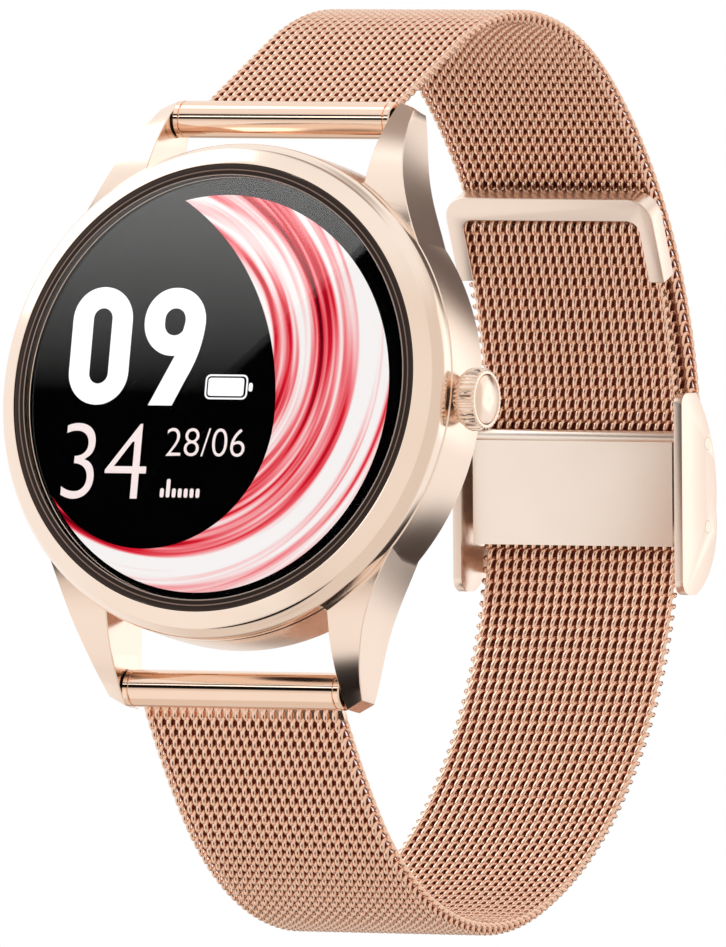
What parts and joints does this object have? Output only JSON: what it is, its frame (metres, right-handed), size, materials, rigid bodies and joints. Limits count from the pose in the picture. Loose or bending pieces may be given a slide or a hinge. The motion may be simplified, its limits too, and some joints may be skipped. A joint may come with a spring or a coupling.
{
  "type": "smartwatch",
  "caption": "Round smartwatch with a pressing and turning crown, on a woven-mesh band closed in a wrist loop by a sliding clasp.",
  "frame": {"origin": "centre of the wrist loop, level with the middle of the dial", "axes": "dial faces -Y, 12 o'clock is +Z, the crown points along +X; the wrist passes along X"},
  "size_m": [0.0426, 0.067, 0.0748],
  "materials": {
    "case_metal": "polished rose-gold plated steel",
    "bezel_metal": "polished rose-gold plated steel",
    "crown_metal": "polished rose-gold plated steel",
    "clasp_metal": "polished rose-gold plated steel",
    "pin_metal": "polished rose-gold plated steel",
    "mesh_metal": "woven rose-gold plated steel wire",
    "bar_metal": "drawn steel",
    "spring_metal": "spring wire",
    "cover_glass": "polished mineral glass",
    "display": "lit round display",
    "window_glass": "smoked optical window",
    "seal_rubber": "black silicone",
    "inner_plastic": "moulded black plastic",
    "cover_plastic": "fine-textured black plastic",
    "board": "green circuit board",
    "flex": "amber polyimide film",
    "shield_metal": "tinned steel sheet",
    "battery_wrap": "silver pouch cell",
    "motor_metal": "nickel-plated can",
    "led_white": "encapsulated diode",
    "contact_gold": "gold-plated contact",
    "magnet_nickel": "nickel-plated magnet",
    "switch_plastic": "moulded switch shell"
  },
  "bodies": {
    "case": {"case_body": "case_metal", "bezel_ring": "bezel_metal", "glass_gasket": "seal_rubber", "cover_glass": "cover_glass", "display_panel": "display", "display_flex": "flex", "inner_chassis": "inner_plastic", "main_board": "board", "board_shields": "shield_metal", "battery": "battery_wrap", "vibration_motor": "motor_metal", "sensor_board": "board", "sensor_leds": "led_white", "rear_cover": "cover_plastic", "rear_gasket": "seal_rubber", "sensor_window": "window_glass", "rear_screws": "pin_metal", "charge_contacts": "contact_gold", "charge_magnets": "magnet_nickel", "crown_tube": "bar_metal", "crown_switch": "switch_plastic", "spring_bar_upper": "bar_metal", "spring_bar_lower": "bar_metal", "spring_bar_upper_spring": "spring_metal", "spring_bar_lower_spring": "spring_metal"},
    "crown_plunger": {"crown_retaining_clip": "spring_metal"},
    "crown": {"crown_cap": "crown_metal", "crown_inlay": "crown_metal", "crown_stem": "bar_metal", "crown_o_ring": "seal_rubber"},
    "tip_upper_right": {"spring_bar_upper_tip_right": "bar_metal"},
    "tip_upper_left": {"spring_bar_upper_tip_left": "bar_metal"},
    "tip_lower_right": {"spring_bar_lower_tip_right": "bar_metal"},
    "tip_lower_left": {"spring_bar_lower_tip_left": "bar_metal"},
    "strap_upper": {"strap_upper_end": "clasp_metal", "strap_upper_mesh": "mesh_metal", "strap_hook": "clasp_metal"},
    "strap_lower": {"strap_lower_end": "clasp_metal", "strap_lower_mesh": "mesh_metal", "strap_tail_mesh": "mesh_metal", "strap_tip": "clasp_metal"},
    "clasp": {"clasp_frame": "clasp_metal", "clasp_lock_pin": "pin_metal", "clasp_cross_pin": "pin_metal", "clasp_cover_pin": "pin_metal"},
    "lock_plate": {"clasp_lock_plate": "clasp_metal"},
    "cover": {"clasp_cover": "clasp_metal"}
  },
  "joints": [
    {"name": "crown_push", "type": "slide", "parent": "case", "child": "crown_plunger", "axis": [-1, 0, 0], "range_m": [0, 0.00025], "stiffness_N_per_m": 2000, "springref_m": -0.0005},
    {"name": "crown_turn", "type": "hinge", "parent": "crown_plunger", "child": "crown", "pos_m": [0.02, -0.0314, 0], "axis": [1, 0, 0], "continuous": true},
    {"name": "bar_tip_upper_right", "type": "slide", "parent": "case", "child": "tip_upper_right", "axis": [-1, 0, 0], "range_m": [0, 0.001], "stiffness_N_per_m": 1500, "springref_m": -0.001, "deforming": ["spring_bar_upper_spring"]},
    {"name": "bar_tip_upper_left", "type": "slide", "parent": "case", "child": "tip_upper_left", "axis": [1, 0, 0], "range_m": [0, 0.001], "stiffness_N_per_m": 1500, "springref_m": -0.001},
    {"name": "bar_tip_lower_right", "type": "slide", "parent": "case", "child": "tip_lower_right", "axis": [-1, 0, 0], "range_m": [0, 0.001], "stiffness_N_per_m": 1500, "springref_m": -0.001, "deforming": ["spring_bar_lower_spring"]},
    {"name": "bar_tip_lower_left", "type": "slide", "parent": "case", "child": "tip_lower_left", "axis": [1, 0, 0], "range_m": [0, 0.001], "stiffness_N_per_m": 1500, "springref_m": -0.001},
    {"name": "strap_upper_swing", "type": "hinge", "parent": "case", "child": "strap_upper", "pos_m": [0, -0.0274, 0.023], "axis": [1, 0, 0], "range_deg": [0, 1.2]},
    {"name": "strap_lower_swing", "type": "hinge", "parent": "case", "child": "strap_lower", "pos_m": [0, -0.0274, -0.023], "axis": [1, 0, 0], "range_deg": [-1.9, 0]},
    {"name": "clasp_tilt", "type": "hinge", "parent": "strap_upper", "child": "clasp", "pos_m": [0, 0.0281, 0.00598], "axis": [1, 0, 0], "range_deg": [0, 0.6]},
    {"name": "clasp_lock", "type": "hinge", "parent": "clasp", "child": "lock_plate", "pos_m": [0, 0.02474, 0.00592], "axis": [-1, 0, 0], "range_deg": [0, 75]},
    {"name": "clasp_cover_flip", "type": "hinge", "parent": "clasp", "child": "cover", "pos_m": [0, 0.02943, -0.00069], "axis": [-1, 0, 0], "range_deg": [0, 95]}
  ],
  "couplings": [
    {"joint": "strap_lower_swing", "follows": "strap_upper_swing", "ratio": -1.5714},
    {"joint": "clasp_tilt", "follows": "strap_upper_swing", "ratio": 0.4353}
  ]
}
